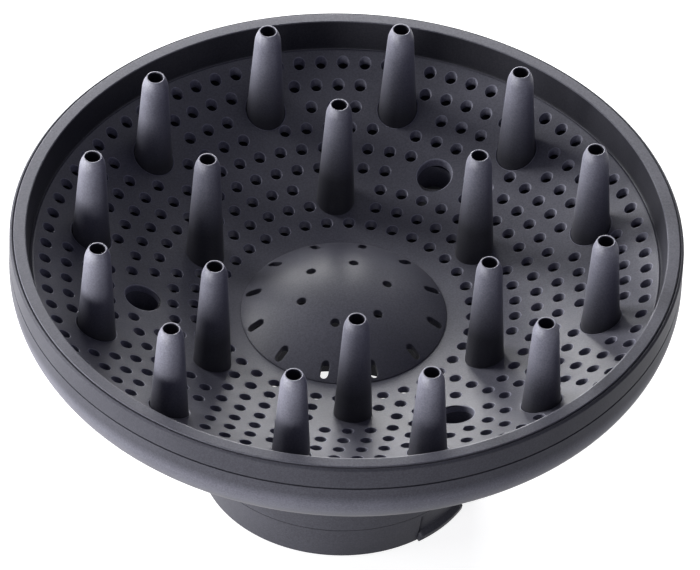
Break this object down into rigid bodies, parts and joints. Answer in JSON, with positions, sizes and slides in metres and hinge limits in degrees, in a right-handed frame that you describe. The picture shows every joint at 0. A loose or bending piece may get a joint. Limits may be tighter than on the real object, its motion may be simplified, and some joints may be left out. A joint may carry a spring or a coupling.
{
  "type": "hair dryer diffuser",
  "caption": "Round diffuser for a hair dryer: perforated dish with hollow fingers and a slotted dome, in a tapered shell with a latched collar.",
  "frame": {"origin": "centre of the collar's mouth, which the part stands on", "axes": "+Z along the neck towards the fingers, +Y towards one inner finger"},
  "size_m": [0.155, 0.155, 0.0832],
  "materials": {
    "plate_plastic": "fine matte moulded plastic, dark grey",
    "rim_plastic": "fine matte moulded plastic, dark grey",
    "shell_plastic": "fine matte moulded plastic, dark grey",
    "collar_plastic": "fine matte moulded plastic, dark grey",
    "latch_plastic": "fine matte moulded plastic, dark grey",
    "dome_plastic": "fine matte moulded plastic, dark grey",
    "finger_plastic": "fine matte moulded plastic, dark grey",
    "screw_steel": "blackened steel"
  },
  "bodies": {
    "diffuser": {"front_plate": "plate_plastic", "front_rim": "rim_plastic", "rear_shell": "shell_plastic", "mounting_collar": "collar_plastic", "centre_dome": "dome_plastic", "outer_finger_01": "finger_plastic", "outer_finger_02": "finger_plastic", "outer_finger_03": "finger_plastic", "outer_finger_04": "finger_plastic", "outer_finger_05": "finger_plastic", "outer_finger_06": "finger_plastic", "outer_finger_07": "finger_plastic", "outer_finger_08": "finger_plastic", "outer_finger_09": "finger_plastic", "outer_finger_10": "finger_plastic", "outer_finger_11": "finger_plastic", "outer_finger_12": "finger_plastic", "inner_finger_01": "finger_plastic", "inner_finger_02": "finger_plastic", "inner_finger_03": "finger_plastic", "inner_finger_04": "finger_plastic", "inner_finger_05": "finger_plastic", "inner_finger_06": "finger_plastic", "plate_screws": "screw_steel"},
    "latch_1": {"latch_1": "latch_plastic"},
    "latch_2": {"latch_2": "latch_plastic"}
  },
  "joints": [
    {"name": "latch_1_flex", "type": "hinge", "parent": "diffuser", "child": "latch_1", "pos_m": [0.02295, -0.02295, 0.0086], "axis": [-0.7071, -0.7071, 0], "range_deg": [0, 5], "stiffness_Nm_per_rad": 0.1},
    {"name": "latch_2_flex", "type": "hinge", "parent": "diffuser", "child": "latch_2", "pos_m": [-0.02295, 0.02295, 0.0086], "axis": [0.7071, 0.7071, 0], "range_deg": [0, 5], "stiffness_Nm_per_rad": 0.1}
  ]
}
